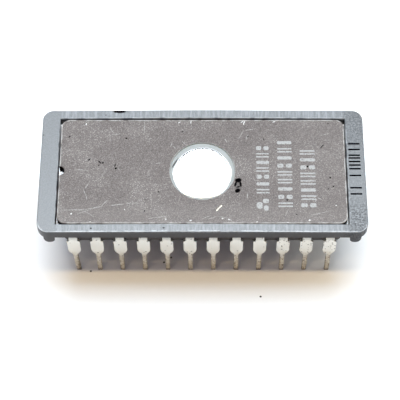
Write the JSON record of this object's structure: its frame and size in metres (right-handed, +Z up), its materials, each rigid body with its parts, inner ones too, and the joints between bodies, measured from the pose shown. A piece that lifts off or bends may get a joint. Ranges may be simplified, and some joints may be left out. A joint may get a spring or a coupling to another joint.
{
  "type": "windowed eprom chip",
  "caption": "Ceramic dual in-line memory chip with a round glass window, two rows of bent tinned leads and a grey moulded guard frame round the body.",
  "frame": {"origin": "on the surface the lead tips stand on, at the centre of the whole part", "axes": "+X along the body from the notched end, +Y across the two lead rows towards leads 13 to 24, +Z up through the window"},
  "size_m": [0.0356, 0.0154, 0.0093],
  "materials": {
    "guard_plastic": "satin, worn",
    "ceramic": "matt",
    "sealing_glass": "gloss",
    "window_glass": "clear",
    "silicon": "polished",
    "gold_solder": "satin",
    "tinned_strip": "dull tin",
    "aluminium_wire": "bright"
  },
  "bodies": {
    "root": {"carrier_frame": "guard_plastic", "ceramic_base": "ceramic", "ceramic_lid": "ceramic", "seal_glass": "sealing_glass", "window_lens": "window_glass", "silicon_die": "silicon", "die_attach": "gold_solder", "lead_01": "tinned_strip", "lead_02": "tinned_strip", "lead_03": "tinned_strip", "lead_04": "tinned_strip", "lead_05": "tinned_strip", "lead_06": "tinned_strip", "lead_07": "tinned_strip", "lead_08": "tinned_strip", "lead_09": "tinned_strip", "lead_10": "tinned_strip", "lead_11": "tinned_strip", "lead_12": "tinned_strip", "lead_13": "tinned_strip", "lead_14": "tinned_strip", "lead_15": "tinned_strip", "lead_16": "tinned_strip", "lead_17": "tinned_strip", "lead_18": "tinned_strip", "lead_19": "tinned_strip", "lead_20": "tinned_strip", "lead_21": "tinned_strip", "lead_22": "tinned_strip", "lead_23": "tinned_strip", "lead_24": "tinned_strip", "bond_wire_01": "aluminium_wire", "bond_wire_02": "aluminium_wire", "bond_wire_03": "aluminium_wire", "bond_wire_04": "aluminium_wire", "bond_wire_05": "aluminium_wire", "bond_wire_06": "aluminium_wire", "bond_wire_07": "aluminium_wire", "bond_wire_08": "aluminium_wire", "bond_wire_09": "aluminium_wire", "bond_wire_10": "aluminium_wire", "bond_wire_11": "aluminium_wire", "bond_wire_12": "aluminium_wire", "bond_wire_13": "aluminium_wire", "bond_wire_14": "aluminium_wire", "bond_wire_15": "aluminium_wire", "bond_wire_16": "aluminium_wire", "bond_wire_17": "aluminium_wire", "bond_wire_18": "aluminium_wire", "bond_wire_19": "aluminium_wire", "bond_wire_20": "aluminium_wire", "bond_wire_21": "aluminium_wire", "bond_wire_22": "aluminium_wire", "bond_wire_23": "aluminium_wire", "bond_wire_24": "aluminium_wire"}
  },
  "joints": []
}
